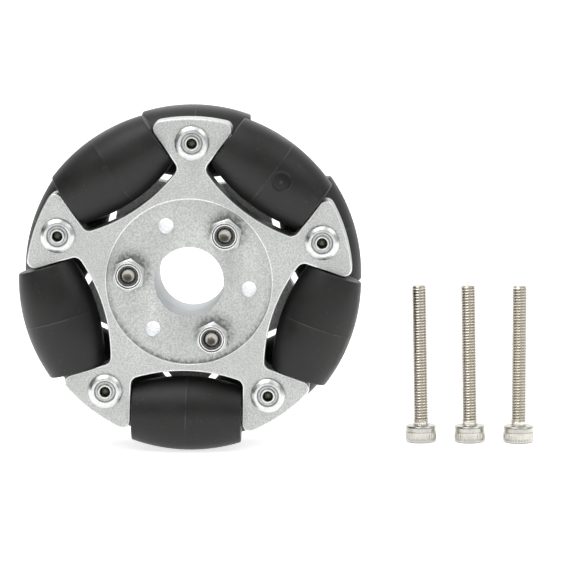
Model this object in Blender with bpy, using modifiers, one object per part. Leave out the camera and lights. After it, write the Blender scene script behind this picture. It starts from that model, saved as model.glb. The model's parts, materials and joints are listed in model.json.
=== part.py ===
"""A double row omni wheel of 60 mm with its three mounting screws, in metres, +Z up.

The wheel spins about the Y axis and its centre is the origin. Each of its two rows has five barrel rollers,
whose axles are clamped between two cast star halves that blind rivets hold together. A spacer ring parts the
rows, three bolts with lock nuts hold the hub, and three empty holes take the mounting screws, which stand on
their heads beside the wheel.
"""

import math

import bmesh
import bpy

MM = 0.001

# Wheel
WHEEL_RADIUS = 30.0 * MM
ROW_OFFSET = 6.0 * MM  # from the wheel's middle plane to each row's plane
ARMS = 5
PITCH = math.tau / ARMS
FIRST_ARM = math.radians(90.0)
FIRST_ROLLER = math.radians(270.0)
WHEEL_TURN = math.radians(1.4)  # how far it has rolled to the right from an arm pointing straight up
SEAT_GAP = 0.3 * MM  # kept between faces that rest on each other

# Rollers and axles
ROLLER_AXIS_RADIUS = 23.5 * MM
ROLLER_HALF = 9.6 * MM
ROLLER_CHAMFER = 0.4 * MM
ROLLER_BORE_RADIUS = 1.6 * MM
AXLE_RADIUS = 1.25 * MM
AXLE_HALF = 12.4 * MM

# Star halves
HALF_THICK = 3.3 * MM
SPLIT_GAP = 0.15 * MM  # from a row's plane to the face of each half
ARM_RADIUS = 28.5 * MM
WINDOW_HALF = ROLLER_HALF + 0.3 * MM
WINDOW_GAP = 1.3 * MM  # between a roller and the hub behind it
ARM_FILLET = 1.4 * MM
WINDOW_FILLET = 1.0 * MM
GROOVE_RADIUS = AXLE_RADIUS + 0.25 * MM
RECESS_RADIUS = 14.4 * MM
RECESS_DEPTH = 0.8 * MM

# Hub
BORE_RADIUS = 6.0 * MM
HOLES = 6
HOLE_CIRCLE = 10.5 * MM
HOLE_RADIUS = 1.6 * MM
FIRST_HOLE = math.radians(54.0)
SPACER_RADIUS = RECESS_RADIUS
SPACER_HALF = ROW_OFFSET - HALF_THICK - SEAT_GAP
DISC_FACE = ROW_OFFSET + HALF_THICK - RECESS_DEPTH  # from the wheel's middle plane

# Blind rivets
RIVET_CIRCLE = 24.2 * MM
RIVET_RADIUS = 1.5 * MM
RIVET_HOLE_RADIUS = 1.75 * MM
RIVET_FLANGE_RADIUS = 2.87 * MM
RIVET_DOME_RADIUS = 2.1 * MM
RIVET_RISE = 0.9 * MM
RIVET_RIM = 0.3 * MM
RIVET_BULGE_RADIUS = 2.3 * MM
RIVET_BULGE = 1.0 * MM
MANDREL_HOLE_RADIUS = 0.9 * MM
MANDREL_HOLE_DEPTH = 2.6 * MM

# M3 hardware
SHANK_RADIUS = 1.42 * MM
TIP_CHAMFER = 0.4 * MM
HEAD_RADIUS = 2.75 * MM
HEAD_HEIGHT = 3.0 * MM
HEAD_CHAMFER = 0.3 * MM
SOCKET_WIDTH = 2.5 * MM
SOCKET_DEPTH = 1.6 * MM
HUB_BOLTS = 3
HUB_BOLT_LENGTH = 21.0 * MM
NUT_WIDTH = 5.5 * MM
NUT_HEIGHT = 3.7 * MM
NUT_HEX_HEIGHT = 2.6 * MM
NUT_COLLAR_RADIUS = 2.4 * MM
NUT_BORE_RADIUS = 1.65 * MM
NUT_POCKET_RADIUS = 2.1 * MM
NUT_POCKET_DEPTH = 1.1 * MM
INSERT_RADIUS = 1.95 * MM
INSERT_HEIGHT = 0.9 * MM
INSERT_LIFT = 0.1 * MM  # above the floor of the nut's pocket

# Loose mounting screws
SCREW_LENGTH = 25.0 * MM
SCREWS = 3
FIRST_SCREW_X = 40.75 * MM
SCREW_SPACING = 8.65 * MM
SCREW_Y = 3.2 * MM

# Facets
ROLLER_STEPS = 16
SMALL_STEPS = 12
RIVET_STEPS = 8
BORE_STEPS = 24
FLOOR_STEPS = 3
OUTER_FILLET_STEPS = 3
INNER_FILLET_STEPS = 2
RIM_STEPS = 2
FLAT_ANGLE = math.radians(1.0)  # faces that meet at less than this are joined
SHARP_ANGLE = math.radians(35.0)
MERGE = 0.001  # in millimetres

PARTS = bpy.data.collections.new("Omni wheel")
CUTTERS = bpy.data.collections.new("Omni wheel cutters")


def clear_scene():
    for thing in list(bpy.data.objects):
        bpy.data.objects.remove(thing)
    bpy.context.scene.collection.children.link(PARTS)
    bpy.context.scene.collection.children.link(CUTTERS)


# Helpers


def material(name, colour, roughness, metallic):
    made = bpy.data.materials.new(name)
    made.use_nodes = True
    surface = made.node_tree.nodes["Principled BSDF"]
    surface.inputs["Base Color"].default_value = (*colour, 1.0)
    surface.inputs["Roughness"].default_value = roughness
    surface.inputs["Metallic"].default_value = metallic
    made.diffuse_color = (*colour, 1.0)
    return made


def frame(name, y, turn):
    """An empty whose +Z is an axial direction of the wheel, and whose XY plane is the wheel's plane."""
    empty = bpy.data.objects.new(name, None)
    empty.location = (0.0, y, 0.0)
    empty.rotation_euler = turn
    empty.empty_display_size = 5.0 * MM
    PARTS.objects.link(empty)
    return empty


def part(name, mesh, surface, parent=None, location=(0.0, 0.0, 0.0), rotation=(0.0, 0.0, 0.0)):
    made = bpy.data.objects.new(name, mesh)
    made.parent = parent
    made.location = location
    made.rotation_euler = rotation
    if not mesh.materials:
        mesh.materials.append(surface)
    PARTS.objects.link(made)
    return made


def cutter(name, mesh, parent=None, location=(0.0, 0.0, 0.0), rotation=(0.0, 0.0, 0.0)):
    made = bpy.data.objects.new(name, mesh)
    made.parent = parent
    made.location = location
    made.rotation_euler = rotation
    made.hide_render = True
    made.display_type = "WIRE"
    CUTTERS.objects.link(made)
    return made


def cut(target, tool, operation="DIFFERENCE"):
    modifier = target.modifiers.new(tool.name, "BOOLEAN")
    modifier.operation = operation
    modifier.object = tool
    modifier.solver = "EXACT"


def polar(radius, angle, z=0.0):
    return (radius * math.cos(angle), radius * math.sin(angle), z)


def arc(centre, radius, start, end, steps):
    """Points on an arc of the XY plane, both ends included."""
    turns = [start + (end - start) * i / steps for i in range(steps + 1)]
    return [(centre[0] + radius * math.cos(a), centre[1] + radius * math.sin(a)) for a in turns]


def circle(centre, radius, sides):
    """A polygon whose flats lie on the circle, so that a hole is nowhere tighter than its radius."""
    corner = radius / math.cos(math.pi / sides)
    return arc(centre, corner, 0.0, math.tau * (sides - 1) / sides, sides - 1)


def plate(name, loops, low, high):
    """A flat plate between two heights: the first loop is its outline and the others are its holes.

    The outline is drawn in millimetres and then scaled, because Blender's curve fill loses detail under 0.00003.
    """
    outline = bpy.data.curves.new(name, "CURVE")
    outline.dimensions = "2D"
    outline.fill_mode = "BOTH"
    outline.extrude = (high - low) / 2.0 / MM
    for loop in loops:
        spline = outline.splines.new("POLY")
        spline.points.add(len(loop) - 1)
        for point, (x, y) in zip(spline.points, loop):
            point.co = (x / MM, y / MM, 0.0, 1.0)
        spline.use_cyclic_u = True
    flat = bpy.data.objects.new(name, outline)
    PARTS.objects.link(flat)
    graph = bpy.context.evaluated_depsgraph_get()
    mesh = bpy.data.meshes.new_from_object(flat.evaluated_get(graph))
    bpy.data.objects.remove(flat)
    solid = bmesh.new()
    solid.from_mesh(mesh)
    bmesh.ops.remove_doubles(solid, verts=solid.verts, dist=MERGE)
    bmesh.ops.scale(solid, verts=solid.verts, vec=(MM, MM, MM))
    bmesh.ops.translate(solid, verts=solid.verts, vec=(0.0, 0.0, (low + high) / 2.0))
    bmesh.ops.recalc_face_normals(solid, faces=solid.faces)
    bmesh.ops.dissolve_limit(solid, angle_limit=FLAT_ANGLE, verts=solid.verts, edges=solid.edges)
    solid.to_mesh(mesh)
    solid.free()
    return mesh


def profile(name, points, closed=False):
    """The edge loop that a Screw turns: (radius, height) points, whose outer side runs from the top down."""
    mesh = bpy.data.meshes.new(name)
    solid = bmesh.new()
    verts = [solid.verts.new((radius, 0.0, height)) for radius, height in points]
    pairs = list(zip(verts, verts[1:]))
    if closed:
        pairs.append((verts[-1], verts[0]))
    for pair in pairs:
        solid.edges.new(pair)
    solid.to_mesh(mesh)
    solid.free()
    return mesh


def turn(target, steps):
    modifier = target.modifiers.new("Turn", "SCREW")
    modifier.axis = "Z"
    modifier.steps = steps
    modifier.render_steps = steps
    modifier.use_merge_vertices = True
    modifier.merge_threshold = MERGE * MM
    modifier.use_smooth_shade = True


def prism(name, radius, sides, low, high):
    mesh = bpy.data.meshes.new(name)
    solid = bmesh.new()
    bmesh.ops.create_cone(
        solid, cap_ends=True, segments=sides, radius1=radius, radius2=radius, depth=high - low
    )
    bmesh.ops.translate(solid, verts=solid.verts, vec=(0.0, 0.0, (low + high) / 2.0))
    solid.to_mesh(mesh)
    solid.free()
    return mesh


# Star halves


def star_outline():
    """The outline of one star: five windows cut into a disc, each with parallel sides and a curved floor."""
    floor_centre = 2.0 * ROLLER_AXIS_RADIUS - WINDOW_GAP
    # Centres of the two fillets beside each window, as (across, along) the roller's radial direction.
    inner = (
        WINDOW_HALF - WINDOW_FILLET,
        floor_centre
        - math.sqrt((WHEEL_RADIUS - WINDOW_FILLET) ** 2 - (WINDOW_HALF - WINDOW_FILLET) ** 2),
    )
    outer = (
        WINDOW_HALF + ARM_FILLET,
        math.sqrt((ARM_RADIUS - ARM_FILLET) ** 2 - (WINDOW_HALF + ARM_FILLET) ** 2),
    )
    floor_end = math.atan2(inner[1] - floor_centre, inner[0])
    rim_start = math.atan2(outer[1], outer[0])
    half = arc((0.0, floor_centre), WHEEL_RADIUS, -math.pi / 2.0, floor_end, FLOOR_STEPS)
    half += arc(inner, WINDOW_FILLET, floor_end, 0.0, INNER_FILLET_STEPS)[1:]
    half += arc(outer, ARM_FILLET, math.pi, rim_start, OUTER_FILLET_STEPS)
    half += arc((0.0, 0.0), ARM_RADIUS, rim_start, math.pi / 2.0 - PITCH / 2.0, RIM_STEPS)[1:]
    outline = []
    for index in range(ARMS):
        radial = FIRST_ROLLER + index * PITCH
        side, up = (-math.sin(radial), math.cos(radial)), (math.cos(radial), math.sin(radial))
        mirrored = [(-across, along) for across, along in half[:0:-1]]
        for across, along in mirrored + half[:-1]:
            outline.append((across * side[0] + along * up[0], across * side[1] + along * up[1]))
    return outline


def rounds(count, radius, first, hole_radius, sides):
    step = math.tau / count
    return [circle(polar(radius, first + i * step), hole_radius, sides) for i in range(count)]


def star_half(name, low, high, row, metal, cutters):
    loops = [star_outline(), circle((0.0, 0.0), BORE_RADIUS, BORE_STEPS)[::-1]]
    loops += rounds(HOLES, HOLE_CIRCLE, FIRST_HOLE, HOLE_RADIUS, SMALL_STEPS)
    loops += rounds(ARMS, RIVET_CIRCLE, FIRST_ARM, RIVET_HOLE_RADIUS, RIVET_STEPS)
    half = part(name, plate(name, loops, low, high), metal, row)
    for tool in cutters:
        cut(half, tool)
    return half


def roller_place(index):
    angle = FIRST_ROLLER + index * PITCH
    return {"location": polar(ROLLER_AXIS_RADIUS, angle), "rotation": (-math.pi / 2.0, 0.0, angle)}


def stars(side, row, metal):
    grooves = [
        cutter(f"{side}_groove_{i + 1}", prism("groove", GROOVE_RADIUS, SMALL_STEPS,
               -AXLE_HALF - SEAT_GAP, AXLE_HALF + SEAT_GAP), row, **roller_place(i))
        for i in range(ARMS)
    ]
    recess = cutter(f"{side}_recess", prism("recess", RECESS_RADIUS, BORE_STEPS,
                    HALF_THICK - RECESS_DEPTH, HALF_THICK + RECESS_DEPTH), row)
    star_half(f"{side}_outer_star", SPLIT_GAP, HALF_THICK, row, metal, [recess] + grooves)
    star_half(f"{side}_inner_star", -HALF_THICK, -SPLIT_GAP, row, metal, grooves)


# Rollers, axles and rivets


def roller_profile():
    """A barrel whose outer side lies on the wheel's own circle, with a bore for the axle."""
    end = ROLLER_HALF - ROLLER_CHAMFER
    heights = [end, end / 2.0, 0.0, -end / 2.0, -end]
    side = [(math.sqrt(WHEEL_RADIUS**2 - z**2) - ROLLER_AXIS_RADIUS, z) for z in heights]
    end_radius = side[0][0] - ROLLER_CHAMFER
    return (
        [(ROLLER_BORE_RADIUS, ROLLER_HALF), (end_radius, ROLLER_HALF)]
        + side
        + [(end_radius, -ROLLER_HALF), (ROLLER_BORE_RADIUS, -ROLLER_HALF)]
    )


def rollers(side, row, plastic, steel):
    barrel = profile("roller", roller_profile(), closed=True)
    pin = prism("axle", AXLE_RADIUS, SMALL_STEPS, -AXLE_HALF, AXLE_HALF)
    for index in range(ARMS):
        made = part(f"{side}_roller_{index + 1}", barrel, plastic, row, **roller_place(index))
        turn(made, ROLLER_STEPS)
        part(f"{side}_axle_{index + 1}", pin, steel, row, **roller_place(index))


def rivet_profile():
    """A blind rivet set through both star halves: domed head with a mandrel hole, shank and bulged end."""
    seat = HALF_THICK + SEAT_GAP
    top = seat + RIVET_RISE
    return [
        (0.0, top - MANDREL_HOLE_DEPTH),
        (MANDREL_HOLE_RADIUS, top - MANDREL_HOLE_DEPTH),
        (MANDREL_HOLE_RADIUS, top),
        (MANDREL_HOLE_RADIUS + RIVET_RIM, top),
        (RIVET_DOME_RADIUS, seat + RIVET_RISE / 2.0),
        (RIVET_FLANGE_RADIUS, seat + RIVET_RIM),
        (RIVET_FLANGE_RADIUS, seat),
        (RIVET_RADIUS, seat),
        (RIVET_RADIUS, -seat),
        (RIVET_BULGE_RADIUS, -seat),
        (RIVET_BULGE_RADIUS, -seat - RIVET_RIM),
        (MANDREL_HOLE_RADIUS, -seat - RIVET_BULGE),
        (0.0, -seat - RIVET_BULGE),
    ]


def rivets(side, row, metal):
    body = profile("rivet", rivet_profile())
    for index in range(ARMS):
        place = polar(RIVET_CIRCLE, FIRST_ARM + index * PITCH)
        turn(part(f"{side}_rivet_{index + 1}", body, metal, row, location=place), RIVET_STEPS)


# Hub


def hub_spacer(hub, metal):
    loops = [circle((0.0, 0.0), SPACER_RADIUS, BORE_STEPS), circle((0.0, 0.0), BORE_RADIUS, BORE_STEPS)]
    loops += rounds(HOLES, HOLE_CIRCLE, FIRST_HOLE, HOLE_RADIUS, SMALL_STEPS)
    part("hub_spacer", plate("hub_spacer", loops, -SPACER_HALF, SPACER_HALF), metal, hub)


def cap_screw_profile(length):
    """A socket head screw that stands on its head: the head from 0 up, then the shank."""
    tip = HEAD_HEIGHT + length
    return [
        (0.0, tip),
        (SHANK_RADIUS - TIP_CHAMFER, tip),
        (SHANK_RADIUS, tip - TIP_CHAMFER),
        (SHANK_RADIUS, HEAD_HEIGHT),
        (HEAD_RADIUS, HEAD_HEIGHT),
        (HEAD_RADIUS, HEAD_CHAMFER),
        (HEAD_RADIUS - HEAD_CHAMFER, 0.0),
        (0.0, 0.0),
    ]


def cap_screw(name, length, metal, parent, location):
    body = part(name, profile(name, cap_screw_profile(length)), metal, parent, location)
    turn(body, SMALL_STEPS)
    hexagon = prism("socket", SOCKET_WIDTH / math.sqrt(3.0), 6, -SOCKET_DEPTH, SOCKET_DEPTH)
    cut(body, cutter(f"{name}_socket", hexagon, parent, location))


def nut_profile():
    """A lock nut's turned blank: chamfered hexagon part, collar, and the pocket of the nylon insert."""
    chamfer = NUT_WIDTH / 2.0
    corner = NUT_WIDTH / math.sqrt(3.0)
    rise = (corner - chamfer) / math.sqrt(3.0)
    return [
        (NUT_POCKET_RADIUS, NUT_HEIGHT),
        (NUT_COLLAR_RADIUS, NUT_HEIGHT),
        (NUT_COLLAR_RADIUS, NUT_HEX_HEIGHT),
        (chamfer, NUT_HEX_HEIGHT),
        (corner, NUT_HEX_HEIGHT - rise),
        (corner, rise),
        (chamfer, 0.0),
        (NUT_BORE_RADIUS, 0.0),
        (NUT_BORE_RADIUS, NUT_HEIGHT - NUT_POCKET_DEPTH),
        (NUT_POCKET_RADIUS, NUT_HEIGHT - NUT_POCKET_DEPTH),
    ]


def hub_fasteners(hub, steel, zinc, nylon):
    blank = profile("lock_nut", nut_profile(), closed=True)
    hexagon = prism("nut_hexagon", NUT_WIDTH / math.sqrt(3.0), 6, -MM, NUT_HEIGHT + MM)
    low = NUT_HEIGHT - NUT_POCKET_DEPTH + INSERT_LIFT
    ring = [
        circle((0.0, 0.0), INSERT_RADIUS, SMALL_STEPS),
        circle((0.0, 0.0), NUT_BORE_RADIUS, SMALL_STEPS),
    ]
    seat = DISC_FACE + SEAT_GAP
    for index in range(HUB_BOLTS):
        angle = FIRST_HOLE + index * math.tau / HUB_BOLTS
        cap_screw(f"hub_bolt_{index + 1}", HUB_BOLT_LENGTH, steel, hub,
                  polar(HOLE_CIRCLE, angle, -seat - HEAD_HEIGHT))
        place = polar(HOLE_CIRCLE, angle, seat)
        nut = part(f"lock_nut_{index + 1}", blank, zinc, hub, place)
        turn(nut, SMALL_STEPS)
        cut(nut, cutter(f"lock_nut_{index + 1}_hexagon", hexagon, hub, place), "INTERSECT")
        insert = plate("nylon_insert", ring, low, low + INSERT_HEIGHT)
        part(f"nylon_insert_{index + 1}", insert, nylon, hub, place)


def mounting_screws(steel):
    for index in range(SCREWS):
        place = (FIRST_SCREW_X + index * SCREW_SPACING, SCREW_Y, -WHEEL_RADIUS)
        cap_screw(f"mounting_screw_{index + 1}", SCREW_LENGTH, steel, None, place)


def smooth_round_parts():
    for thing in PARTS.objects:
        if thing.type == "MESH":
            thing.data.shade_smooth()
            thing.data.set_sharp_from_angle(angle=SHARP_ANGLE)


def build():
    clear_scene()
    cast = material("cast aluminium", (0.62, 0.63, 0.63), 0.45, 1.0)
    rivet = material("rivet aluminium", (0.72, 0.73, 0.74), 0.25, 1.0)
    zinc = material("zinc plated steel", (0.66, 0.67, 0.68), 0.22, 1.0)
    steel = material("stainless steel", (0.60, 0.58, 0.55), 0.28, 1.0)
    pin = material("ground steel", (0.55, 0.55, 0.56), 0.3, 1.0)
    black = material("black roller plastic", (0.035, 0.036, 0.038), 0.5, 0.0)
    nylon = material("grey nylon", (0.10, 0.12, 0.14), 0.6, 0.0)

    upright = math.pi / 2.0
    rows = {
        "front": frame("front_row", -ROW_OFFSET, (upright, WHEEL_TURN, 0.0)),
        # The same castings turned over, which puts the rear rollers behind the front arms.
        "rear": frame("rear_row", ROW_OFFSET, (-upright, WHEEL_TURN + PITCH, 0.0)),
    }
    for side, row in rows.items():
        stars(side, row, cast)
        rollers(side, row, black, pin)
        rivets(side, row, rivet)
    hub = frame("hub", 0.0, (upright, WHEEL_TURN, 0.0))
    hub_spacer(hub, cast)
    hub_fasteners(hub, steel, zinc, nylon)
    mounting_screws(steel)
    smooth_round_parts()


build()
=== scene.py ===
"""The looks of a 60 mm double row omni wheel and three loose mounting screws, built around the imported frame.

The pieces' own shapes are in millimetres, each in a frame of its own. A mesh is then scaled to metres and
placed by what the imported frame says: by its joint, or by the box of the CAD node that it replaces.
"""

import json
import math

import bmesh
import bpy
from mathutils import Matrix, Vector
from mathutils.geometry import tessellate_polygon


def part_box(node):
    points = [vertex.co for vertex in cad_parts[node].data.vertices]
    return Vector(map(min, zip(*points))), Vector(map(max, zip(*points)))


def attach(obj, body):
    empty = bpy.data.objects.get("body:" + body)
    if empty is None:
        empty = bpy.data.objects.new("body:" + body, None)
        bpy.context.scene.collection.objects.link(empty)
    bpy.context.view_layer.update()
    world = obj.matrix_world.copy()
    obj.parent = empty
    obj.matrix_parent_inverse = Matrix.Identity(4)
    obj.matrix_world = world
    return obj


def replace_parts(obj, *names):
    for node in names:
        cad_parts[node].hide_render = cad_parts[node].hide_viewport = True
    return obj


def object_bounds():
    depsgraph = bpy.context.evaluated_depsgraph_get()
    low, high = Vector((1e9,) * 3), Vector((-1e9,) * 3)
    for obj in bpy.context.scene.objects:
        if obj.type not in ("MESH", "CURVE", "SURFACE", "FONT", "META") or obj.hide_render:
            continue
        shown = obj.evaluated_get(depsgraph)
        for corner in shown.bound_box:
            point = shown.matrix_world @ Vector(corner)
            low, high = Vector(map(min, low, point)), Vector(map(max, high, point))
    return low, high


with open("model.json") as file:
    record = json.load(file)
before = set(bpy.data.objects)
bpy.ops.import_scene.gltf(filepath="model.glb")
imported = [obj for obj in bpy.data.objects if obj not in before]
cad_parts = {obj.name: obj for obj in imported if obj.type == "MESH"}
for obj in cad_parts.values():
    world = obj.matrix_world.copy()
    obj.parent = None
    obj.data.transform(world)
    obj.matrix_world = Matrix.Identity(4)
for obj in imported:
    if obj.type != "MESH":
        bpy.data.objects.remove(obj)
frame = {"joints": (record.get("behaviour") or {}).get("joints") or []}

CAD_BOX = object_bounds()
MM = 0.001
TAU = math.tau
AXIS = Vector((0.0, 1.0, 0.0))  # the wheel's own axis
CENTRE = Vector((0.0, 0.0, 0.0))
UP = Vector((0.0, 0.0, 1.0))
SIDES = {"front": -AXIS, "rear": AXIS}  # the way each row's outer face looks
SHARP = 0.0  # the radius of a corner that isn't rounded

# Wheel, in millimetres
ARMS = 5
PITCH = TAU / ARMS
WHEEL_RADIUS = -CAD_BOX[0][2] / MM
ROLLER_HALF = 9.6
ROLLER_BORE = 1.5
ROLLER_EDGE = 0.45
ROLLER_ROWS = 28
PARTING_HALF = 0.12  # of the ridge that the mould left round a roller's middle
PARTING_RISE = 0.015
GATE_CENTRE = (0.46, -2.0)  # of the gate mark on a roller's side, across its axis and along it
GATE_RADIUS = 1.7
GATE_SPINS = (2.0, 3.4, 0.0, 1.7, 4.1)  # how each roller of a row has turned on its axle, in radians
AXLE_RADIUS = 1.25
AXLE_HALF = 12.4
AXLE_CHAMFER = 0.2
HALF_THICK = 3.3
SEAM = 0.01  # left between two castings that rest on each other
ARM_RADIUS = 28.5
WINDOW_HALF = 9.78
WINDOW_GAP = 1.3
ARM_FILLET = 1.4
WINDOW_FILLET = 1.4
GROOVE_RADIUS = 1.3
GROOVE_HALF = 12.6
RECESS_RADIUS = 14.4
RECESS_DEPTH = 0.8
RECESS_ROUND = 0.15
EDGE_ROUND = 0.2
SEAM_ROUND = 0.12
SPACER_ROUND = 0.15
RUBBED = 0.06  # width of the bright band beside an edge
SHADE_WIDTH = 1.1  # of the painted shade in the corner of the disc's recess
NUT_SHADE_SHIFT = (0.45, -0.30)  # of the painted shade beside each nut: up, and to the right if negative
BORE_RADIUS = 6.0
BORE_EDGE = 0.12
BORE_SEAM = 0.01
HOLES = 6
FIRST_HOLE = -PITCH / 2.0
HOLE_CIRCLE = 10.5
EMPTY_HOLE_RADIUS = 1.33
BOLT_HOLE_RADIUS = 1.50
HOLE_EDGE = 0.08
RIVET_CIRCLE = 24.2
RIVET_HOLE_RADIUS = 1.6
CAST, DRILLED, BURNISHED, TURNED = range(4)  # the surfaces of a casting

# Blind rivets, in millimetres above the row's plane
RIVET_CORE = 0.90  # radius of the hole in which the torn mandrel lies
RIVET_TOP = 4.5
RIVET_ROLLED = 4.40
RIVET_DISH = 3.95
RIVET_FLANGE = 3.02
RIVET_SHANK = 1.5
RIVET_BULGE = 2.3
RIVET_END = 4.6
RIVET_STEPS = 56
RIVET_BODY, RIVET_HOLE, RIVET_PRESSED = range(3)  # the surfaces of a rivet

# M3 hardware, in millimetres
THREAD_PITCH = 0.5
THREAD_CREST = 1.44
THREAD_ROOT = 1.16
THREAD_ROWS = 10  # per turn
THREAD_STEPS = 40
NECK_RADIUS = 1.38
NECK_LENGTH = 0.6
TIP_CHAMFER = 0.4
THREAD_FLANK = 2.6  # how steeply the flanks rise, in depths of the thread per turn
THREAD_FLAT = 0.15  # how much is cut off the crest, as a share of the depth
HEAD_RADIUS = 2.75
HEAD_HEIGHT = 3.0
HEAD_RIM = 0.34  # radius of the rounded rim round the socket's end
SOCKET_WIDTH = 2.5
SOCKET_DEPTH = 1.6
SOCKET_LEAD = 0.12  # of the bevel round the socket's mouth
KNURL_TEETH = 34
KNURL_STEPS = 4
KNURL_DEPTH = 0.08
KNURL_ROWS = 6
KNURL_LOW = 0.45
KNURL_HIGH = 1.85
SHOULDER_STEP = 0.04  # how much narrower a head is above its knurl
SCREW_LENGTH = 25.0
SCREW_LEANS = (1.1, 1.0, 0.0)  # how far each loose screw leans to the left, in degrees
HUB_BOLT_LENGTH = 20.6
STAIN_CENTRE = (-0.08, -0.36)  # of the brown stain on a hub bolt's end
STAIN_RADIUS = 0.78
NUT_WIDTH = 5.2
NUT_HEIGHT = 4.0
NUT_HEX = 2.8  # height of the hexagon below the collar
NUT_BORE = 1.5
NUT_BEVEL = math.radians(30.0)
NUT_BLANK_OVER = 0.05  # how far the turned blank reaches past the hexagon's corners
COLLAR_RADIUS = 2.4
ROLL_GROOVE = (1.98, 2.20)  # inner and outer radius of the seam that was rolled into the collar's top
ROLL_DEPTH = 0.4
LIP_RADIUS = 1.80
LIP_TOP = 3.96
POCKET_RADIUS = 2.1
NUT_FLATS, NUT_PLATED, NUT_SEAM, NUT_SHOULDER = range(4)  # the surfaces of a nut
NUT_TURNS = (-0.20, -0.13, -0.09)  # how far each nut was tightened, in radians
NYLON_BORE = 1.42
INSERT_TOP = 3.62
INSERT_GAP = 0.03  # beside an insert, in its pocket

# How finely round shapes are divided
EDGE_STRIPS = 6
BORE_STEPS = 128
RECESS_STEPS = 160
HOLE_STEPS = 40
RIVET_HOLE_STEPS = 32
ROLLER_STEPS = 96
NUT_STEPS = 96
INSERT_STEPS = 64

# Materials
SHADER_INPUTS = {"subsurface_weight": "Subsurface Weight", "specular_ior_level": "Specular IOR Level"}
SEED_SHIFT = (31.0, 17.0, 23.0)  # how far a piece's seed of 1 moves it through the noise

# Studio, in metres
FLOOR_HALF = 6.0
FLOOR_GLOW = ((0.0, 0.72), (0.25, 0.64), (0.60, 0.45), (1.0, 0.55))  # distance from the middle, glow there
SKY_RISE = (0.05, 0.75, 0.42, 0.72)  # height of the direction: from, to, and the glow at each
SKY_BACK = (0.0, 0.8, 0.12, 1.20)  # how far the direction points behind the wheel, likewise
FLAG_LEFT = (0.74, 0.92, 1.0, 0.04)  # how far it points left: from, to, and the share of the glow at each
SOFTBOXES = (  # name, place, width and power
    ("key", (-0.20, -0.22, 0.66), 0.45, 2.4),
    ("fill", (0.50, -0.20, 0.55), 0.40, 0.8),
    ("back", (0.0, 0.45, 0.45), 0.60, 0.9),
)
CAMERA_AIM = (17.17, -1.42)  # right of and above the front row's centre, in millimetres
CAMERA_DISTANCE = 0.6
CAMERA_AZIMUTH = 1.24  # degrees to the right of the wheel's axis
CAMERA_ELEVATION = 6.7  # degrees
LENS = 214.25  # millimetres, on a sensor of 36

joints = {joint["name"]: joint for joint in frame["joints"]}
ROLLER_AXIS = Vector(joints["front_roller_1_spin"]["pos_m"]).xz.length / MM


# Placing


def placed(origin, along, across):
    """The matrix of a frame in metres whose +Z is along and whose +X is nearest to across."""
    z = Vector(along).normalized()
    y = z.cross(Vector(across)).normalized()
    x = y.cross(z)
    turn = Matrix((x, y, z)).transposed().to_4x4()
    return Matrix.Translation(Vector(origin)) @ turn @ Matrix.Scale(MM, 4)


def middle(node):
    low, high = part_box(node)
    return (Vector(low) + Vector(high)) / 2.0


def radial(point):
    """The part of a point that is square to the wheel's axis."""
    return Vector((point[0], 0.0, point[2]))


def roller_frame(node):
    joint = joints[node + "_spin"]
    return placed(joint["pos_m"], joint["axis"], radial(joint["pos_m"]))


def row_frame(side):
    """Origin on the row's plane, +Z outwards, +X towards the arm that holds the row's first rivet."""
    plane = Vector((0.0, middle(f"{side}_roller_1")[1], 0.0))
    return placed(plane, SIDES[side], radial(middle(f"{side}_rivet_1")))


def rivet_frame(node, side):
    spot = radial(middle(node))
    plane = Vector((0.0, middle(f"{side}_roller_1")[1], 0.0))
    return placed(spot + plane, SIDES[side], spot)


# Mesh tools, all in millimetres


def arc(centre, radius, start, end, steps):
    turns = [start + (end - start) * i / steps for i in range(steps + 1)]
    return [(centre[0] + radius * math.cos(a), centre[1] + radius * math.sin(a)) for a in turns]


def circle(centre, radius, steps):
    return arc(centre, radius, 0.0, TAU * (steps - 1) / steps, steps - 1)


def polar(radius, angle):
    return (radius * math.cos(angle), radius * math.sin(angle))


def fillet(points, radii, steps=4):
    """An open outline whose inner corners are rounded, each with its own radius or SHARP."""
    made = [points[0]]
    for before, corner, after, radius in zip(points, points[1:], points[2:], radii):
        corner_at = Vector(corner)
        back = (Vector(before) - corner_at).normalized()
        onward = (Vector(after) - corner_at).normalized()
        opening = back.angle(onward)
        if radius <= SHARP or opening > math.radians(178.0):
            made.append(corner)
            continue
        reach = radius / math.tan(opening / 2.0)
        heart = corner_at + (back + onward).normalized() * radius / math.sin(opening / 2.0)
        start = corner_at + back * reach - heart
        end = corner_at + onward * reach - heart
        swing = start.angle_signed(end)
        for i in range(steps + 1):
            turned = Matrix.Rotation(-swing * i / steps, 2) @ start
            made.append(tuple(heart + turned))
    made.append(points[-1])
    return made


def skin(solid, rings, finish=0, edge=0, edge_finish=BURNISHED):
    """Quads between rings of equal count. It returns the first and last ring's vertices.

    The last strips of quads, as many as edge says, take a finish of their own.
    """
    rows = [[solid.verts.new(point) for point in ring] for ring in rings]
    for row, (low, high) in enumerate(zip(rows, rows[1:])):
        for i, vert in enumerate(low):
            follower = (i + 1) % len(low)
            face = solid.faces.new((vert, low[follower], high[follower], high[i]))
            face.smooth = True
            face.material_index = edge_finish if row >= len(rows) - 1 - edge else finish
    return rows[0], rows[-1]


def cap(solid, loops):
    """A flat face that fills the first loop and leaves the others open."""
    verts = [vert for loop in loops for vert in loop]
    for corners in tessellate_polygon([[vert.co for vert in loop] for loop in loops]):
        solid.faces.new([verts[i] for i in corners])


def lathe(solid, profile, steps, finish=0):
    """A turned surface from (radius, height) points. It returns the vertices of both end rings."""
    rings = [
        [(*polar(max(radius, 0.0), TAU * i / steps), height) for i in range(steps)]
        for radius, height in profile
    ]
    return skin(solid, rings, finish)


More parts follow.
